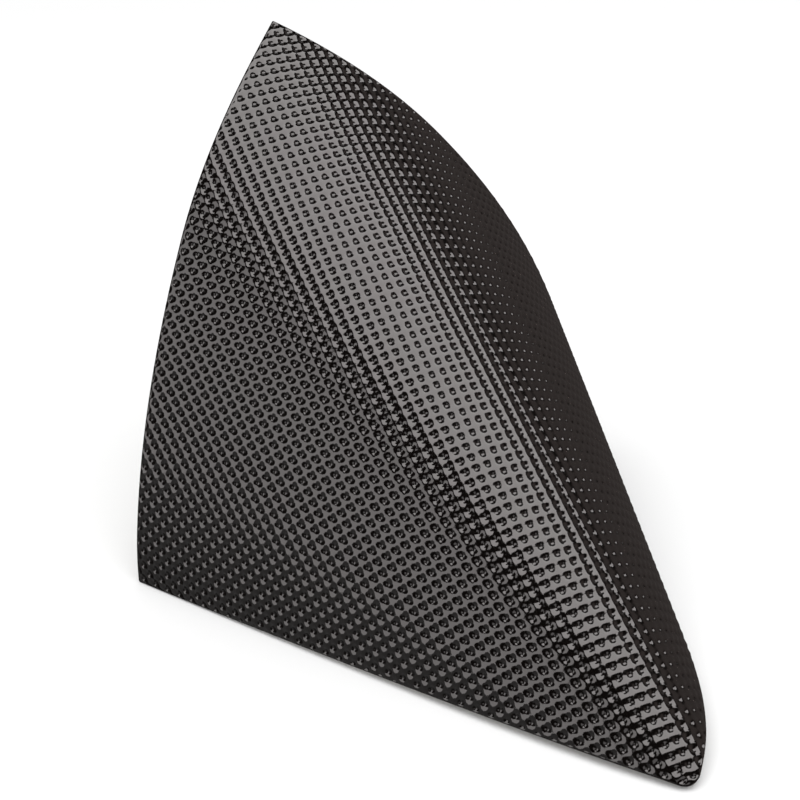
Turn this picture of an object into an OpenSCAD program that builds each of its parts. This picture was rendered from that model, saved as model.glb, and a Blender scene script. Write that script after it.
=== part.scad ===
// Traction pad for a snowboard: a square dimpled rubber sheet with a double-coated
// adhesive film and a release liner on its back.  The sheet is shown flexed over its
// diagonal into a tent that stands on three of its corners.
//
// A flexed flat sheet can only follow cones and cylinders.  Here every straight line
// of the bend (a ruling) passes through one point, the cone apex, and the sheet is a
// chain of strips, each of them part of a round cone about that apex.  A point of the
// flat sheet keeps its distance from the apex, so nothing stretches.
//
// Row frame: +Z up from the floor, +Y from the low front corner to the raised back
// corner, +X to the right seen from the front.  The origin is on the floor, at the
// centre of the bounding box.

/* [Sheet] */
// Length of each side of the flat square sheet
sheet_side = 150; // [100:5:200]
// Thickness of the rubber sheet between its dimples
sheet_t = 1.5; // [1:0.1:2.5]

/* [Backing] */
// Bare margin between the edge of the sheet and the edge of the backing
backing_inset = 1.5; // [1.5:0.1:4]
// Thickness of the adhesive coat on each face of the carrier film
adhesive_t = 0.15; // [0.1:0.05:0.3]
// Thickness of the carrier film
carrier_t = 0.1; // [0.1:0.05:0.2]
// Thickness of the release liner
liner_t = 0.15; // [0.1:0.05:0.3]

/* [Flex] */
// Distance of the cone apex in front of the sheet's front corner, for a 150 mm sheet
apex_ahead = 35; // [30:1:45]
// Distance of the cone apex to the right of the sheet's diagonal, for a 150 mm sheet
apex_aside = 4.75; // [3:0.25:6]

/* [Hidden] */

// Strips of the bend from left to right: [sweep about the apex, half-angle of its cone].
// A small half-angle is a tight bend.
STRIPS = [[8, 24], [20, 42], [10, 14], [12, 16.5], [14, 26.5], [16, 35.5]];
// Direction of the first ruling, measured from the diagonal towards the right
FIRST_RULING = -42;
// Largest angle between two neighbouring rulings of the mesh
RULING_STEP = 0.5;
// Size of sheet for which the two apex distances are given
NOMINAL_SIDE = 150;

// Depths below the sheet's outer face, measured into the sheet
sheet_front = 0;
sheet_back = sheet_t;
carrier_front = sheet_back + adhesive_t;
carrier_back = carrier_front + carrier_t;
liner_front = carrier_back + adhesive_t;
liner_back = liner_front + liner_t;

// ---- Flat sheet: x to the right, y along the diagonal from the front to the back corner

half_diagonal = sheet_side / sqrt(2);
backing_half_diagonal = half_diagonal - backing_inset * sqrt(2);
apex = [apex_aside, -NOMINAL_SIDE / sqrt(2) - apex_ahead] * sheet_side / NOMINAL_SIDE;

function corners(half) = [[-half, 0], [0, -half], [0, half], [half, 0]];

// Direction of the ruling through a flat point
function ruling_through(p) = atan2(p.x - apex.x, p.y - apex.y);

// Distance from the apex, along a ruling, to the line that |x|*sx + y*sy = half describes
function reach(angle, half, sx, sy) =
    (half - apex.x * sx - apex.y * sy) / (sin(angle) * sx + cos(angle) * sy);

// Where a ruling enters the square, across the two front edges, and where it leaves it
function entry(angle, half) = max(reach(angle, half, -1, -1), reach(angle, half, 1, -1));
function exit(angle, half) = min(reach(angle, half, -1, 1), reach(angle, half, 1, 1));

// ---- Flexed sheet: a frame [along the ruling, across it, into the sheet] rolls along the cones

function turned(v, axis, angle) =
    v * cos(angle) + cross(axis, v) * sin(angle) + axis * (axis * v) * (1 - cos(angle));

// The frame after a sweep round a cone of the given half-angle
function rolled(frame, half_angle, sweep) =
    let (axis = frame[0] * cos(half_angle) + frame[2] * sin(half_angle))
    [for (v = frame) turned(v, axis, sweep / sin(half_angle))];

// [direction of the first ruling, half-angle, frame there] of strip i and of all later ones
function strip_starts(i, angle, frame) =
    i == len(STRIPS) ? [] :
    concat(
        [[angle, STRIPS[i][1], frame]],
        strip_starts(i + 1, angle + STRIPS[i][0], rolled(frame, STRIPS[i][1], STRIPS[i][0])));

strips = strip_starts(0, FIRST_RULING, [[1, 0, 0], [0, 1, 0], [0, 0, 1]]);

function frame_at(angle) =
    let (i = max([for (k = [0:len(strips) - 1]) if (k == 0 || strips[k][0] <= angle) k]))
    rolled(strips[i][2], strips[i][1], angle - strips[i][0]);

// A point at a distance along the ruling with this frame, and at a depth into the sheet
function on_frame(frame, distance, depth) = frame[0] * distance + frame[2] * depth;

function flexed(p, depth) = on_frame(frame_at(ruling_through(p)), norm(p - apex), depth);

// ---- Standing: three corners of the sheet's back lie on the floor

function unit(v) = v / norm(v);

left_foot = flexed([-half_diagonal, 0], sheet_back);
front_foot = flexed([0, -half_diagonal], sheet_back);
right_foot = flexed([half_diagonal, 0], sheet_back);
ridge = flexed([0, half_diagonal], sheet_back) - front_foot;

up = unit(cross(right_foot - front_foot, left_foot - front_foot));
back = unit(ridge - up * (ridge * up));
right = cross(back, up);

function standing(p) = let (q = p - front_foot) [q * right, q * back, q * up];

// ---- Rulings shared by all the layers, so that touching faces match exactly

function sorted(list) =
    len(list) < 2 ? list :
    let (first = list[0], rest = [for (i = [1:len(list) - 1]) list[i]])
    concat(
        sorted([for (x = rest) if (x < first) x]),
        [first],
        sorted([for (x = rest) if (x >= first) x]));

// Directions that need a ruling: the strips' ends and every corner of both squares
keys = sorted(concat(
    [for (strip = strips) strip[0]],
    [for (p = corners(half_diagonal)) ruling_through(p)],
    [for (p = corners(backing_half_diagonal)) ruling_through(p)]));

rulings = [
    for (i = [0:len(keys) - 2])
        let (gap = keys[i + 1] - keys[i], steps = ceil(gap / RULING_STEP))
        for (k = [0:steps - 1]) keys[i] + gap * k / steps,
    keys[len(keys) - 1]];

frames = [for (angle = rulings) frame_at(angle)];

// The rulings that cross a square well inside its left and right corners
function crossing(half) =
    let (first = ruling_through([-half, 0]), last = ruling_through([half, 0]), margin = 0.001)
    [for (i = [0:len(rulings) - 1]) if (rulings[i] > first + margin && rulings[i] < last - margin) i];

// The bounding box of the sheet gives the origin
sheet_points = [
    for (i = crossing(half_diagonal), depth = [sheet_front, sheet_back])
        for (distance = [entry(rulings[i], half_diagonal), exit(rulings[i], half_diagonal)])
            standing(on_frame(frames[i], distance, depth))];
corner_points = [
    for (p = corners(half_diagonal), depth = [sheet_front, sheet_back]) standing(flexed(p, depth))];
xs = [for (p = concat(sheet_points, corner_points)) p.x];
ys = [for (p = concat(sheet_points, corner_points)) p.y];
zs = [for (p = concat(sheet_points, corner_points)) p.z];
origin = [(min(xs) + max(xs)) / 2, (min(ys) + max(ys)) / 2, min(zs)];

// ---- Layers

// One flexed layer: a square of the given half-diagonal between two depths.  Each ruling
// gives four points: entry and exit on the outer face, then entry and exit on the inner.
// The left and right corners give two points each.
module layer(half, outer, inner) {
    used = crossing(half);
    count = len(used);
    left = 4 * count;
    right_end = left + 2;
    points = concat(
        [for (i = used, depth = [outer, inner])
            for (distance = [entry(rulings[i], half), exit(rulings[i], half)])
                on_frame(frames[i], distance, depth)],
        [for (x = [-half, half], depth = [outer, inner]) flexed([x, 0], depth)]);
    between = [
        for (k = [0:count - 2])
            let (a = 4 * k, b = a + 4)
            each [
                [a, a + 1, b + 1, b],
                [a + 2, b + 2, b + 3, a + 3],
                [a, b, b + 2, a + 2],
                [a + 1, a + 3, b + 3, b + 1]]];
    end = 4 * (count - 1);
    at_left = [
        [left, 1, 0],
        [left + 1, 2, 3],
        [left, 0, 2, left + 1],
        [left, left + 1, 3, 1]];
    at_right = [
        [end, end + 1, right_end],
        [end + 2, right_end + 1, end + 3],
        [end, right_end, right_end + 1, end + 2],
        [end + 1, end + 3, right_end + 1, right_end]];
    polyhedron(
        points = [for (p = points) standing(p) - origin],
        faces = concat(between, at_left, at_right));
}

// Rubber sheet; this solid leaves out the dimples in its outer face
module dimpled_sheet() {
    color("#2b2a2a") layer(half_diagonal, sheet_front, sheet_back);
}

// Adhesive coat that holds the film to the rubber
module sheet_side_adhesive() {
    color("#c9c6b4") layer(backing_half_diagonal, sheet_back, carrier_front);
}

// Polyester film that carries both adhesive coats
module carrier_film() {
    color("#9fb4b8") layer(backing_half_diagonal, carrier_front, carrier_back);
}

// Adhesive coat that will hold the pad to the board
module board_side_adhesive() {
    color("#d3cfb8") layer(backing_half_diagonal, carrier_back, liner_front);
}

// Paper liner that peels off before the pad is stuck down
module release_liner() {
    color("#e9e6de") layer(backing_half_diagonal, liner_front, liner_back);
}

dimpled_sheet();
sheet_side_adhesive();
carrier_film();
board_side_adhesive();
release_liner();
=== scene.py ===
import math

import bmesh
import bpy
import numpy as np
from mathutils import Matrix, Vector, geometry


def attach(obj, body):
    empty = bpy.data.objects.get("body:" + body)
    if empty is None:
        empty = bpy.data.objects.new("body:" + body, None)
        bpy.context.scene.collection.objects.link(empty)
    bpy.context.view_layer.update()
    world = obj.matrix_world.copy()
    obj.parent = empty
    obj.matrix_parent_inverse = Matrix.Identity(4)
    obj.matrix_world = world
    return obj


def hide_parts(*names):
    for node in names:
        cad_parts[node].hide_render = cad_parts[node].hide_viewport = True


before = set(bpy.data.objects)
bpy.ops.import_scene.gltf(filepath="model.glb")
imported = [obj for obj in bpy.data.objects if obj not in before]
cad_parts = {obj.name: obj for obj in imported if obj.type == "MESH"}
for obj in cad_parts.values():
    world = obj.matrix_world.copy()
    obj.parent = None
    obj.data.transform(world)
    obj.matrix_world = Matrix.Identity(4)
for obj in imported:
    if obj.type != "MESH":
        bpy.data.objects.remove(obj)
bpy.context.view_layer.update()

# Metres in a millimetre
MM = 0.001

# ---- The flat sheet and its bend, as in the CAD source (millimetres and degrees).  In flat
# coordinates x runs to the right and y along the diagonal, from the front to the back corner.

SHEET_SIDE = 150.0
SHEET_T = 1.5
BACKING_INSET = 1.5
ADHESIVE_T = 0.15
CARRIER_T = 0.1
LINER_T = 0.15
# Every ruling of the bend passes through the apex, in front of the front corner
APEX_AHEAD = 35.0
APEX_ASIDE = 4.75
# (sweep about the apex, half-angle of its cone) of each strip, from left to right
STRIPS = ((8, 24), (20, 42), (10, 14), (12, 16.5), (14, 26.5), (16, 35.5))
FIRST_RULING = -42.0

# Half-diagonals of the rubber's square and of the backing's
HALF = SHEET_SIDE / math.sqrt(2)
BACKING_HALF = HALF - BACKING_INSET * math.sqrt(2)
APEX = (APEX_ASIDE, -HALF - APEX_AHEAD)
# Left, front, right and back corner of the flat square
CORNERS = ((-HALF, 0), (0, -HALF), (HALF, 0), (0, HALF))

# ---- Dimples: a square lattice, turned a little against the sheet's diagonals

# Distance between neighbouring dimples, in millimetres
PITCH = 2.73
LATTICE_TURN = math.radians(-2.58)
# The rest of the pattern's measures are in pitches
LATTICE_SHIFT = (0.12, 0.19)
BOWL_RADIUS = 0.215
# Steepness of the bowl at its rim, and the width over which the lip rounds it off
BOWL_SLOPE = 0.40
LIP_WIDTH = 0.07
# Half the height of the soft pillows between the dimples, and half the lift of their saddles
PILLOW = 0.074
SADDLE = 0.009
# Points in each ring about a dimple's centre, and the rings' radii
SEGMENTS = 16
RINGS = (0.08, 0.13, 0.175, 0.213, 0.25, 0.29, 0.37)
# Points further out lie on the way from the last ring to the edge of the cell
OUTER_SHARES = (0.5, 1.0)
# A cell's corner is this far from its centre, with a little to spare
CELL_REACH = 0.72

# ---- Rim of the sheet, in millimetres

RIM_RADIUS = 0.4
# Rows of points across the rounded rim, as shares of its radius
RIM_ROWS = (0.0, 0.08, 0.3, 0.62, 1.0)
# The dimples start inside a bare rim and reach their full depth over a further stretch
RIM_BARE = 0.2
RIM_FADE = 0.9
# Cells nearer to a side than this are cut at the rim's rows of points
WHOLE_CELL_MARGIN = RIM_RADIUS * 1.1
# Rows of points down the cut edge, as shares of the way to the back
WALL_ROWS = (0.5, 0.9)
# The back's edge lies this much inside the outline, and its grid this far from the sides
BACK_DRAW_IN = 0.1
BACK_GRID_MARGIN = 1.0
# Radii of the square's rounded corners
CORNER_RADII = {"left": 0.6, "right": 0.6, "front": 4.0, "back": 0.3}

# ---- Fineness

# Points along each side with which the bounding box is found
BOX_STEPS = 601
# Cells along each side of a backing layer
LAYER_CELLS = 72


def turned(v, axis, angle):
    """Rows of v turned about the rows of axis by the angles."""
    c = np.cos(angle)[:, None]
    s = np.sin(angle)[:, None]
    dot = (v * axis).sum(1)[:, None]
    return v * c + np.cross(axis, v) * s + axis * dot * (1 - c)


def roll(start, half_angle, sweep):
    """The frame [along, across, inward] rolled round a cone by each sweep, in degrees."""
    b = math.radians(half_angle)
    axis = start[0] * math.cos(b) + start[2] * math.sin(b)
    angle = np.radians(np.asarray(sweep, float)) / math.sin(b)
    axes = np.tile(axis, (len(angle), 1))
    return np.stack([turned(np.tile(v, (len(angle), 1)), axes, angle) for v in start], 1)


def strip_starts():
    """(direction of the first ruling, half-angle, frame there) of every strip."""
    found = []
    angle = FIRST_RULING
    current = np.eye(3)
    for sweep, half_angle in STRIPS:
        found.append((angle, half_angle, current))
        current = roll(current, half_angle, [sweep])[0]
        angle += sweep
    return found


STARTS = strip_starts()


def bent(points, depth):
    """Flat points (n, 2) at depths into the sheet, on the bent sheet."""
    away = points - np.array(APEX)
    angle = np.degrees(np.arctan2(away[:, 0], away[:, 1]))
    distance = np.hypot(away[:, 0], away[:, 1])
    frames = np.zeros((len(points), 3, 3))
    which = np.clip(np.searchsorted([s[0] for s in STARTS], angle, side="right") - 1, 0, None)
    for i, (start, half_angle, at_start) in enumerate(STARTS):
        mine = which == i
        if mine.any():
            frames[mine] = roll(at_start, half_angle, angle[mine] - start)
    return frames[:, 0] * distance[:, None] + frames[:, 2] * np.asarray(depth)[:, None]


def standing_axes():
    """The front foot, and the axes right, back and up of the standing sheet."""
    feet = np.array(CORNERS, float)
    left, front, right, ridge = bent(feet, np.full(4, SHEET_T))
    up = np.cross(right - front, left - front)
    up /= np.linalg.norm(up)
    back = ridge - front
    back = back - up * (back @ up)
    back /= np.linalg.norm(back)
    return front, np.array([np.cross(back, up), back, up])


FOOT, AXES = standing_axes()


def placed(points, depth):
    """Flat points at depths into the sheet, in the row frame, in metres."""
    return ((bent(points, depth) - FOOT) @ AXES.T - ORIGIN) * MM


def box_origin():
    """Bottom centre of the bent sheet's box, as the CAD source finds it."""
    t = np.linspace(0, 1, BOX_STEPS)[:, None]
    corners = np.array(CORNERS + CORNERS[:1], float)
    rim = np.concatenate([a + (b - a) * t for a, b in zip(corners, corners[1:])])
    outer = bent(rim, np.zeros(len(rim)))
    inner = bent(rim, np.full(len(rim), SHEET_T))
    at = (np.concatenate([outer, inner]) - FOOT) @ AXES.T
    low = at.min(0)
    high = at.max(0)
    return np.array([(low[0] + high[0]) / 2, (low[1] + high[1]) / 2, low[2]])


ORIGIN = box_origin()

# ---- The dimpled skin, built flat and then bent


def dimple_height(x, y):
    """Height of the outer face, in pitches, at lattice coordinates with dimples at whole numbers."""
    a = x - np.round(x)
    b = y - np.round(y)
    r = np.hypot(a, b)
    wave_a = np.cos(2 * np.pi * a)
    wave_b = np.cos(2 * np.pi * b)
    pillow = -PILLOW * (2 + wave_a + wave_b) / 2 + SADDLE * (1 - wave_a * wave_b)
    bowl = BOWL_SLOPE * (BOWL_RADIUS**3 - np.minimum(r, BOWL_RADIUS) ** 3) / (3 * BOWL_RADIUS**2)
    out = np.clip((r - BOWL_RADIUS) / LIP_WIDTH, 0, 1)
    lip = BOWL_SLOPE * LIP_WIDTH * (1 - out) ** 2 / 2
    return pillow - bowl - lip


def cell_pattern():
    """Points of one lattice cell about its dimple, and its faces."""
    turn = 2 * math.pi / SEGMENTS
    points = [(0.0, 0.0)]
    for r in RINGS:
        points += [(r * math.cos(k * turn), r * math.sin(k * turn)) for k in range(SEGMENTS)]
    edge = []
    for k in range(SEGMENTS):
        c = math.cos(k * turn)
        s = math.sin(k * turn)
        reach = 0.5 / max(abs(c), abs(s))
        edge.append((reach * c, reach * s))
    last = RINGS[-1]
    for share in OUTER_SHARES:
        for k, (ex, ey) in enumerate(edge):
            cx = last * math.cos(k * turn)
            cy = last * math.sin(k * turn)
            points.append((cx + (ex - cx) * share, cy + (ey - cy) * share))
    faces = []
    for k in range(SEGMENTS):
        faces.append((0, 1 + k, 1 + (k + 1) % SEGMENTS))
    for ring in range(len(RINGS) + 1):
        a = 1 + ring * SEGMENTS
        b = a + SEGMENTS
        for k in range(SEGMENTS):
            n = (k + 1) % SEGMENTS
            faces.append((a + k, b + k, b + n))
            faces.append((a + k, b + n, a + n))
    return np.array(points), faces


def lattice_to_flat(p):
    """Lattice coordinates to flat millimetres."""
    c = math.cos(LATTICE_TURN)
    s = math.sin(LATTICE_TURN)
    q = p * PITCH
    return np.stack([q[:, 0] * c - q[:, 1] * s, q[:, 0] * s + q[:, 1] * c], 1)


def flat_to_lattice(p):
    """Flat millimetres to lattice coordinates."""
    c = math.cos(LATTICE_TURN)
    s = math.sin(LATTICE_TURN)
    return np.stack([p[:, 0] * c + p[:, 1] * s, -p[:, 0] * s + p[:, 1] * c], 1) / PITCH


def to_edges(p):
    """Distances of flat points to the four sides of the square, positive inside."""
    x = p[:, 0]
    y = p[:, 1]
    sums = (HALF + x + y, HALF - x + y, HALF - x - y, HALF + x - y)
    return np.stack(sums, 1) / math.sqrt(2)


def welded(points, faces):
    """Points with the same coordinates become one."""
    kept, inverse = np.unique(points, axis=0, return_inverse=True)
    return kept, inverse.reshape(-1)[faces]


def flat_cells():
    """The lattice over the square: points, triangles of whole cells, triangles of rim cells."""
    pattern, faces = cell_pattern()
    reach = int(HALF / PITCH) + 3
    ii, jj = np.meshgrid(np.arange(-reach, reach + 1), np.arange(-reach, reach + 1))
    centres = np.stack([ii.ravel(), jj.ravel()], 1) + np.array(LATTICE_SHIFT)
    nearest = to_edges(lattice_to_flat(centres)).min(1)
    kept = nearest > -PITCH * CELL_REACH
    centres = centres[kept]
    whole = nearest[kept] > PITCH * CELL_REACH + WHOLE_CELL_MARGIN
    points = (centres[:, None, :] + pattern[None]).reshape(-1, 2)
    offset = np.arange(len(centres))[:, None, None] * len(pattern)
    triangles = np.array(faces)[None] + offset
    keys = np.round(points * 1e6 + 0.1234).astype(np.int64)
    _, first, inverse = np.unique(keys, axis=0, return_index=True, return_inverse=True)
    points = lattice_to_flat(points[first]).astype(np.float32)
    triangles = inverse.reshape(-1)[triangles]
    return points, triangles[whole].reshape(-1, 3), triangles[~whole].reshape(-1, 3)


def cut_to_square(points, faces):
    """Cuts flat triangles at the square's sides, with rows of points in the rounded rim."""
    used, local = np.unique(faces, return_inverse=True)
    flat = [(x, y, 0.0) for x, y in points[used].tolist()]
    mesh = bpy.data.meshes.new("cut")
    mesh.from_pydata(flat, [], local.reshape(-1, 3).tolist())
    bm = bmesh.new()
    bm.from_mesh(mesh)
    bpy.data.meshes.remove(mesh)
    for sx, sy in ((1, 1), (-1, 1), (-1, -1), (1, -1)):
        outward = Vector((-sx, -sy, 0)).normalized()
        corner = Vector((-sx * HALF / 2, -sy * HALF / 2, 0))
        for share in RIM_ROWS:
            bmesh.ops.bisect_plane(
                bm,
                geom=bm.verts[:] + bm.edges[:] + bm.faces[:],
                dist=1e-6,
                plane_co=corner - outward * (share * RIM_RADIUS),
                plane_no=outward,
                clear_outer=share == 0.0,
            )
    bmesh.ops.triangulate(bm, faces=bm.faces[:])
    bmesh.ops.dissolve_degenerate(bm, dist=1e-5, edges=bm.edges[:])
    bmesh.ops.triangulate(bm, faces=bm.faces[:])
    bm.verts.index_update()
    cut_points = np.array([v.co[:2] for v in bm.verts], np.float32)
    cut_faces = np.array([[v.index for v in f.verts] for f in bm.faces])
    bm.free()
    return cut_points, cut_faces


def rim_drop(points):
    """How far the rounded rim lies below the outer face, in millimetres."""
    d = np.clip(to_edges(points), 0, RIM_RADIUS)
    drop = RIM_RADIUS - np.sqrt(RIM_RADIUS**2 - (RIM_RADIUS - d) ** 2)
    return drop.max(1)


def rounded_corners(points):
    """The square's corners drawn in to small arcs."""
    out = points.copy()
    d = to_edges(points)
    corners = {"left": (0, 3), "front": (0, 1), "right": (1, 2), "back": (2, 3)}
    inward = {0: (1, 1), 1: (-1, 1), 2: (-1, -1), 3: (1, -1)}
    for name, (i, j) in corners.items():
        radius = CORNER_RADII[name]
        a = np.clip(radius - d[:, i], 0, None)
        b = np.clip(radius - d[:, j], 0, None)
        near = (a > 0) & (b > 0)
        factor = np.ones(len(points))
        factor[near] = np.maximum(a, b)[near] / np.hypot(a, b)[near]
        for side, reach in ((i, a), (j, b)):
            step = np.array(inward[side]) / math.sqrt(2)
            out += ((reach * (1 - factor))[:, None] * near[:, None]) * step
    return out


def boundary_loop(faces):
    """The closed outline of a triangle mesh as point indices, and its number of edges."""
    edges = np.concatenate([faces[:, [0, 1]], faces[:, [1, 2]], faces[:, [2, 0]]])
    keys = {(a, b) for a, b in edges.tolist()}
    following = {a: b for a, b in keys if (b, a) not in keys}
    start = next(iter(following))
    loop = [start]
    while following[loop[-1]] != start:
        loop.append(following[loop[-1]])
    return loop, len(following)


def dimpled_face():
    """Points and triangles of the flat outer face, with its outline as a list of points."""
    points, inner_faces, rim_faces = flat_cells()
    cut_points, cut_faces = cut_to_square(points, rim_faces)
    used, inner_faces = np.unique(inner_faces, return_inverse=True)
    faces = np.concatenate([inner_faces.reshape(-1, 3), cut_faces + len(used)])
    points, faces = welded(np.concatenate([points[used], cut_points]), faces)
    a, b, c = faces.T
    faces = faces[(a != b) & (b != c) & (c != a)]
    loop, edges = boundary_loop(faces)
    print("dimpled face", len(points), "points", len(faces), "faces; outline", len(loop), "of", edges)
    return points.astype(float), faces, loop


def face_depth(points):
    """Depth of the dimpled face below the pillows' highest points, in millimetres."""
    lattice = flat_to_lattice(points) - np.array(LATTICE_SHIFT)
    height = dimple_height(lattice[:, 0], lattice[:, 1]) * PITCH
    fade = np.clip((to_edges(points).min(1) - RIM_BARE) / RIM_FADE, 0, 1)
    fade = fade * fade * (3 - 2 * fade)
    return PILLOW * PITCH * (1 - fade) - height * fade + rim_drop(points)


def wall(above, below):
    """Triangles between two closed rows of points of the same length."""
    faces = []
    size = len(above)
    for k in range(size):
        n = (k + 1) % size
        faces.append((above[k], below[n], above[n]))
        faces.append((above[k], below[k], below[n]))
    return faces


def flat_back(outline):
    """The back: its outline, a little inside the given one, then a grid; and its triangles."""
    grid = lattice_to_flat(grid_points())
    grid = grid[to_edges(grid).min(1) > BACK_GRID_MARGIN]
    outward = outline - outline.mean(0)
    drawn = outline - BACK_DRAW_IN * outward / np.linalg.norm(outward, axis=1)[:, None]
    flat = [Vector(p) for p in np.concatenate([drawn, grid])]
    size = len(outline)
    ring = [(k, (k + 1) % size) for k in range(size)]
    points, _, faces, _, _, _ = geometry.delaunay_2d_cdt(flat, ring, [], 1, 1e-7)
    if len(points) != len(flat):
        raise ValueError("the back's points were changed by the triangulation")
    return np.array([tuple(p) for p in points]), faces


def dimpled_mesh():
    """The whole rubber sheet: dimpled outer face, rounded rim, cut edge and flat back."""
    points, faces, loop = dimpled_face()
    depth = face_depth(points)
    outline = points[loop]
    stacks = [points]
    depths = [depth]
    walls = []
    above = np.array(loop)
    count = len(points)
    for share in WALL_ROWS:
        below = count + np.arange(len(loop))
        stacks.append(outline)
        depths.append(depth[loop] * (1 - share) + SHEET_T * share)
        walls += wall(above, below)
        above = below
        count += len(loop)
    back_points, back_faces = flat_back(outline)
    stacks.append(back_points)
    depths.append(np.full(len(back_points), SHEET_T))
    walls += wall(above, count + np.arange(len(loop)))
    flipped = [tuple(count + i for i in reversed(f)) for f in back_faces]
    all_points = rounded_corners(np.concatenate(stacks))
    return placed(all_points, np.concatenate(depths)), faces.tolist() + walls + flipped


def grid_points():
    """Lattice coordinates half-way between the dimples."""
    reach = int(HALF / PITCH) + 2
    ii, jj = np.meshgrid(np.arange(-reach, reach + 1), np.arange(-reach, reach + 1))
    return np.stack([ii.ravel(), jj.ravel()], 1) + 0.5


def add_mesh(name, points, faces, sharp=50):
    """A smooth-shaded piece whose edges stay sharp beyond an angle in degrees."""
    mesh = bpy.data.meshes.new(name)
    mesh.from_pydata(points.tolist(), [], faces)
    mesh.validate()
    mesh.shade_smooth()
    mesh.set_sharp_from_angle(angle=math.radians(sharp))
    piece = bpy.data.objects.new(name, mesh)
    bpy.context.scene.collection.objects.link(piece)
    return piece


# ---- Backing layers: smooth sheets between two depths


def layer_mesh(half, outer, inner):
    """A bent square sheet between two depths, as a closed mesh."""
    cells = LAYER_CELLS
    step = np.linspace(-1, 1, cells + 1)
    a, b = np.meshgrid(step, step)
    a = a.ravel()
    b = b.ravel()
    flat = np.stack([(a + b) * half / 2, (b - a) * half / 2], 1)
    count = len(flat)
    row = cells + 1
    faces = []
    for j in range(cells):
        for i in range(cells):
            k = j * row + i
            faces.append((k, k + row, k + row + 1, k + 1))
            faces.append((k + count, k + count + 1, k + count + row + 1, k + count + row))
    ring = list(range(cells))
    ring += [cells + j * row for j in range(cells)]
    ring += [cells * row + i for i in range(cells, 0, -1)]
    ring += [j * row for j in range(cells, 0, -1)]
    for k, p in enumerate(ring):
        q = ring[(k + 1) % len(ring)]
        faces.append((p, q, q + count, p + count))
    points = np.concatenate([flat, flat])
    depths = np.concatenate([np.full(count, outer), np.full(count, inner)])
    return placed(points, depths), faces


# ---- Materials


def new_material(name):
    """A material, its nodes, its links and its Principled shader."""
    material = bpy.data.materials.new(name)
    material.use_nodes = True
    nodes = material.node_tree.nodes
    return material, nodes, material.node_tree.links, nodes["Principled BSDF"]


def noise(nodes, links, scale, detail=4.0, roughness=0.55):
    """Noise in object coordinates, so that it stays on the piece."""
    coords = nodes.new("ShaderNodeTexCoord")
    texture = nodes.new("ShaderNodeTexNoise")
    texture.inputs["Scale"].default_value = scale
    texture.inputs["Detail"].default_value = detail
    texture.inputs["Roughness"].default_value = roughness
    links.new(coords.outputs["Object"], texture.inputs["Vector"])
    return texture


def mapped(nodes, links, source, from_low, from_high, to_low, to_high):
    """A clamped linear map of a value."""
    node = nodes.new("ShaderNodeMapRange")
    names = ("From Min", "From Max", "To Min", "To Max")
    for name, value in zip(names, (from_low, from_high, to_low, to_high)):
        node.inputs[name].default_value = value
    links.new(source, node.inputs["Value"])
    return node.outputs["Result"]


def ramp(nodes, links, source, low, high):
    """Noise spread from its usual range to another one."""
    return mapped(nodes, links, source, 0.3, 0.7, low, high)


def blended(nodes, links, source, low, high):
    """A mix of two colours by a value."""
    node = nodes.new("ShaderNodeMix")
    node.data_type = "RGBA"
    links.new(source, node.inputs["Factor"])
    node.inputs["A"].default_value = (*low, 1)
    node.inputs["B"].default_value = (*high, 1)
    return node.outputs["Result"]


def bumped(nodes, links, source, distance, strength):
    """A bumped normal; the distance is in metres."""
    node = nodes.new("ShaderNodeBump")
    node.inputs["Distance"].default_value = distance
    node.inputs["Strength"].default_value = strength
    links.new(source, node.inputs["Height"])
    return node.outputs["Normal"]


def clouded(material_parts, scale, low, high):
    """Gives the base colour soft clouds between two colours, and returns the noise."""
    _, nodes, links, shader = material_parts
    clouds = noise(nodes, links, scale)
    colour = blended(nodes, links, clouds.outputs["Fac"], low, high)
    links.new(colour, shader.inputs["Base Color"])
    return clouds


def rubber():
    """Near-black moulded elastomer with a glossy skin."""
    parts = new_material("rubber")
    material, nodes, links, shader = parts
    clouded(parts, 60, (0.0012, 0.0008, 0.0007), (0.0020, 0.0015, 0.0013))
    grain = noise(nodes, links, 2500, 3)
    links.new(ramp(nodes, links, grain.outputs["Fac"], 0.085, 0.125), shader.inputs["Roughness"])
    links.new(bumped(nodes, links, grain.outputs["Fac"], 0.00001, 0.35), shader.inputs["Normal"])
    shader.inputs["IOR"].default_value = 1.5
    shader.inputs["Specular Tint"].default_value = (1.0, 0.945, 0.93, 1)
    return material


def adhesive():
    """Milky pressure-sensitive adhesive with a wet look."""
    parts = new_material("adhesive")
    material, nodes, links, shader = parts
    clouded(parts, 90, (0.70, 0.68, 0.57), (0.82, 0.80, 0.70))
    skin = noise(nodes, links, 700)
    links.new(ramp(nodes, links, skin.outputs["Fac"], 0.16, 0.30), shader.inputs["Roughness"])
    links.new(bumped(nodes, links, skin.outputs["Fac"], 0.00008, 0.5), shader.inputs["Normal"])
    return material


def film():
    """Thin translucent polyester film."""
    parts = new_material("film")
    material, nodes, links, shader = parts
    clouds = clouded(parts, 120, (0.70, 0.76, 0.76), (0.80, 0.84, 0.84))
    links.new(ramp(nodes, links, clouds.outputs["Fac"], 0.10, 0.18), shader.inputs["Roughness"])
    return material


def paper():
    """Silicone-coated release paper: faint fibres and a satin coat."""
    parts = new_material("liner")
    material, nodes, links, shader = parts
    clouded(parts, 45, (0.82, 0.80, 0.74), (0.89, 0.87, 0.82))
    fibres = noise(nodes, links, 900, 6, 0.7)
    links.new(ramp(nodes, links, fibres.outputs["Fac"], 0.36, 0.52), shader.inputs["Roughness"])
    links.new(bumped(nodes, links, fibres.outputs["Fac"], 0.00004, 0.5), shader.inputs["Normal"])
    return material


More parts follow.
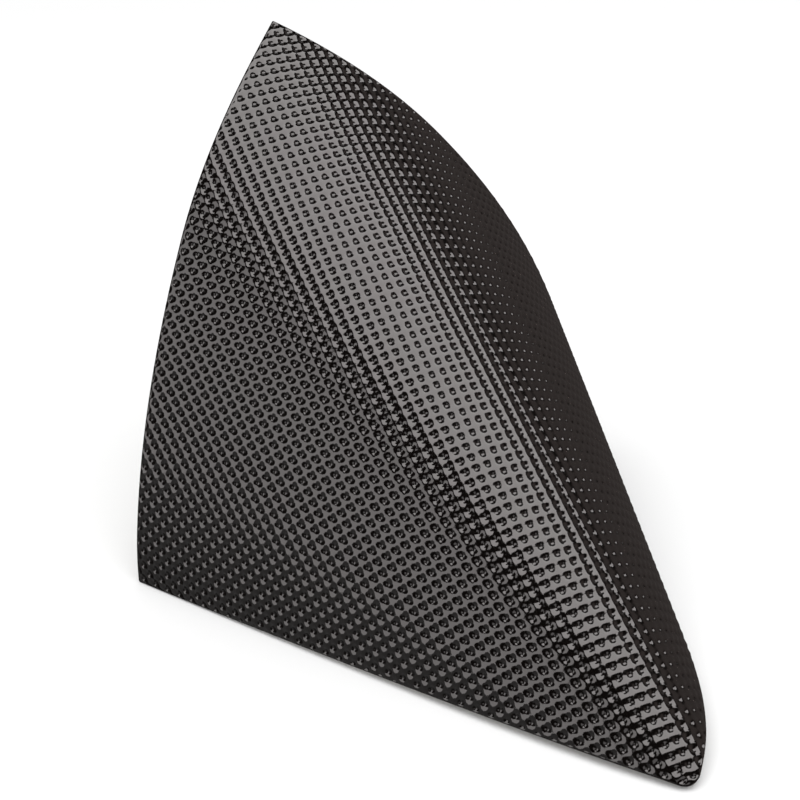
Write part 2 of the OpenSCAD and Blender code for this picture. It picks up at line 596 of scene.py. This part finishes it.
def finish(piece, body, node, material):
    """Puts a piece on its body in place of a CAD node, in its material slot."""
    piece.data.materials.append(material)
    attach(piece, body)
    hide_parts(node)


# ---- Pieces

points, faces = dimpled_mesh()
sheet = add_mesh("dimpled_sheet_skin", points, faces)
finish(sheet, "pad", "dimpled_sheet", rubber())

adhesive_material = adhesive()
carrier_front = SHEET_T + ADHESIVE_T
carrier_back = carrier_front + CARRIER_T
liner_front = carrier_back + ADHESIVE_T
liner_back = liner_front + LINER_T
LAYERS = (
    ("sheet_side_adhesive", SHEET_T, carrier_front, "pad", "adhesive", adhesive_material),
    ("carrier_film", carrier_front, carrier_back, "pad", "film", film()),
    ("board_side_adhesive", carrier_back, liner_front, "pad", "adhesive", adhesive_material),
    ("release_liner", liner_front, liner_back, "liner", "liner", paper()),
)
for node, outer, inner, body, slot, material in LAYERS:
    points, faces = layer_mesh(BACKING_HALF, outer, inner)
    finish(add_mesh(node + "_layer", points, faces), body, node, material)

# ---- Camera

CAMERA_AT = Vector((-0.2028, -0.3265, 0.2498))
CAMERA_AZIMUTH = math.radians(29.73)
CAMERA_ELEVATION = math.radians(27.20)
CAMERA_ROLL = math.radians(-1.44)
CAMERA_LENS = 85.94
CAMERA_SENSOR = 36.0
# The camera's viewing direction, as fixed numbers in the frame
AHEAD = (
    math.sin(CAMERA_AZIMUTH) * math.cos(CAMERA_ELEVATION),
    math.cos(CAMERA_AZIMUTH) * math.cos(CAMERA_ELEVATION),
    -math.sin(CAMERA_ELEVATION),
)


def add_camera():
    ahead = Vector(AHEAD)
    level = ahead.cross(Vector((0, 0, 1))).normalized()
    above = level.cross(ahead)
    right = level * math.cos(CAMERA_ROLL) + above * math.sin(CAMERA_ROLL)
    up = right.cross(ahead)
    camera = bpy.data.objects.new("camera", bpy.data.cameras.new("camera"))
    camera.data.lens = CAMERA_LENS
    camera.data.sensor_width = CAMERA_SENSOR
    camera.data.clip_start = 0.01
    rows = Matrix((right, up, -ahead)).transposed()
    camera.matrix_world = Matrix.Translation(CAMERA_AT) @ rows.to_4x4()
    bpy.context.scene.collection.objects.link(camera)
    bpy.context.scene.camera = camera


add_camera()

# ---- Floor and light

FLOOR_SIDE = 12.0
FLOOR_TONE = 0.68


def add_floor():
    bpy.ops.mesh.primitive_plane_add(size=FLOOR_SIDE, location=(0, 0, 0))
    floor = bpy.context.object
    floor.name = "floor"
    material, _, _, shader = new_material("floor")
    shader.inputs["Base Color"].default_value = (FLOOR_TONE, FLOOR_TONE, FLOOR_TONE, 1)
    shader.inputs["Roughness"].default_value = 1.0
    shader.inputs["Specular IOR Level"].default_value = 0.0
    floor.data.materials.append(material)
    floor.visible_glossy = False


def add_softbox(name, centre, width, height, radiance):
    """A rectangular area light aimed at the origin; width runs level.  It lights matt
    surfaces only, and the panels below are what the glossy ones reflect."""
    light = bpy.data.lights.new(name, "AREA")
    light.shape = "RECTANGLE"
    light.size = width
    light.size_y = height
    light.energy = radiance * math.pi * width * height
    lamp = bpy.data.objects.new(name, light)
    aim = (-Vector(centre)).to_track_quat("-Z", "Y").to_matrix().to_4x4()
    lamp.matrix_world = Matrix.Translation(centre) @ aim
    bpy.context.scene.collection.objects.link(lamp)
    lamp.visible_glossy = False
    lamp.visible_camera = False


def add_panel(name, corners, radiance):
    """A glowing panel that is seen in reflections only."""
    mesh = bpy.data.meshes.new(name)
    mesh.from_pydata(corners, [], [(0, 1, 2, 3)])
    material = bpy.data.materials.new(name)
    material.use_nodes = True
    nodes = material.node_tree.nodes
    nodes.clear()
    out = nodes.new("ShaderNodeOutputMaterial")
    glow = nodes.new("ShaderNodeEmission")
    glow.inputs["Strength"].default_value = radiance
    material.node_tree.links.new(glow.outputs["Emission"], out.inputs["Surface"])
    material.cycles.emission_sampling = "NONE"
    mesh.materials.append(material)
    panel = bpy.data.objects.new(name, mesh)
    bpy.context.scene.collection.objects.link(panel)
    panel.visible_camera = False
    panel.visible_diffuse = False
    panel.visible_shadow = False


# Height of what hangs overhead, and distance of what stands at the sides
OVERHEAD = 1.6
ASIDE = 1.6
OVERHEAD_GLOW = 5.8
LEFT_GLOW = 3.35
LEFT_LOW_GLOW = 0.4
FRONT_GLOW = 1.8
FILL_GLOW = 3.0
# Where the left-hand panels meet, just under the floor's level
LEFT_JOINT = -0.03


def add_panels():
    """What the glossy pieces reflect; all the limits are in units of the distances above."""
    above = ((-0.52, -0.62), (0.87, -0.62), (0.76, 0.28), (-0.52, 0.26))
    corners = [(x * OVERHEAD, y * OVERHEAD, OVERHEAD) for x, y in above]
    add_panel("overhead_panel", corners, OVERHEAD_GLOW)
    left = ((-0.28, LEFT_JOINT), (0.35, LEFT_JOINT), (0.30, 1.1), (-0.28, 1.1))
    corners = [(-ASIDE, y * ASIDE, z * ASIDE) for y, z in left]
    add_panel("left_panel", corners, LEFT_GLOW)
    left_low = ((-0.6, -1.6), (0.6, -1.6), (0.6, LEFT_JOINT), (-0.6, LEFT_JOINT))
    corners = [(-ASIDE, y * ASIDE, z * ASIDE) for y, z in left_low]
    add_panel("left_low_panel", corners, LEFT_LOW_GLOW)
    front = ((-0.85, -0.95, 0.0), (-0.30, -1.3, 0.0), (-0.30, -1.3, 0.8), (-0.85, -0.95, 0.8))
    corners = [tuple(v * ASIDE for v in corner) for corner in front]
    add_panel("front_panel", corners, FRONT_GLOW)


def add_fill():
    """The soft light from above that shades the floor and the paper."""
    centre = (-0.2 * OVERHEAD, -0.3 * OVERHEAD, OVERHEAD)
    add_softbox("fill", centre, 1.4 * OVERHEAD, OVERHEAD, FILL_GLOW)


# Reflected surroundings: nearly dark, with a dim glow low down on the right that fades
# along the camera's fixed viewing direction
DARK = 0.03
WARM = (1.0, 0.86, 0.82)
AMBIENT = 0.9
# The glow's strength across that direction and along it
GLOW = (0.45, 0.02)
# On the unit sphere, the glow ends between these Z and starts between these X
GLOW_TOP = (0.50, 0.65)
GLOW_LEFT = (0.2, 0.5)


def product(nodes, links, a, b):
    """The product of two values."""
    node = nodes.new("ShaderNodeMath")
    node.operation = "MULTIPLY"
    links.new(a, node.inputs[0])
    links.new(b, node.inputs[1])
    return node.outputs[0]


def side_glow(nodes, links, direction):
    """Strength of the dim glow in a direction."""
    parts = nodes.new("ShaderNodeSeparateXYZ")
    links.new(direction, parts.inputs[0])
    facing = nodes.new("ShaderNodeVectorMath")
    facing.operation = "DOT_PRODUCT"
    facing.inputs[1].default_value = AHEAD
    links.new(direction, facing.inputs[0])
    low_down = mapped(nodes, links, parts.outputs["Z"], *GLOW_TOP, 1.0, 0.0)
    on_right = mapped(nodes, links, parts.outputs["X"], *GLOW_LEFT, 0.0, 1.0)
    glow = mapped(nodes, links, facing.outputs["Value"], 0.0, 1.0, *GLOW)
    return product(nodes, links, product(nodes, links, low_down, on_right), glow)


def add_world():
    """Even ambient light, but glossy rays see the reflected surroundings instead."""
    world = bpy.data.worlds.new("world")
    world.use_nodes = True
    bpy.context.scene.world = world
    nodes = world.node_tree.nodes
    links = world.node_tree.links
    coords = nodes.new("ShaderNodeTexCoord")
    glow = side_glow(nodes, links, coords.outputs["Generated"])
    reflected = nodes.new("ShaderNodeMath")
    reflected.operation = "ADD"
    links.new(glow, reflected.inputs[0])
    reflected.inputs[1].default_value = DARK
    tinted = nodes.new("ShaderNodeVectorMath")
    tinted.operation = "SCALE"
    tinted.inputs[0].default_value = WARM
    links.new(reflected.outputs[0], tinted.inputs["Scale"])
    path = nodes.new("ShaderNodeLightPath")
    mix = nodes.new("ShaderNodeMix")
    mix.data_type = "RGBA"
    links.new(path.outputs["Is Glossy Ray"], mix.inputs["Factor"])
    mix.inputs["A"].default_value = (AMBIENT, AMBIENT, AMBIENT, 1)
    links.new(tinted.outputs["Vector"], mix.inputs["B"])
    links.new(mix.outputs["Result"], nodes["Background"].inputs["Color"])


add_floor()
add_panels()
add_fill()
add_world()
bpy.context.scene.view_settings.view_transform = "Standard"
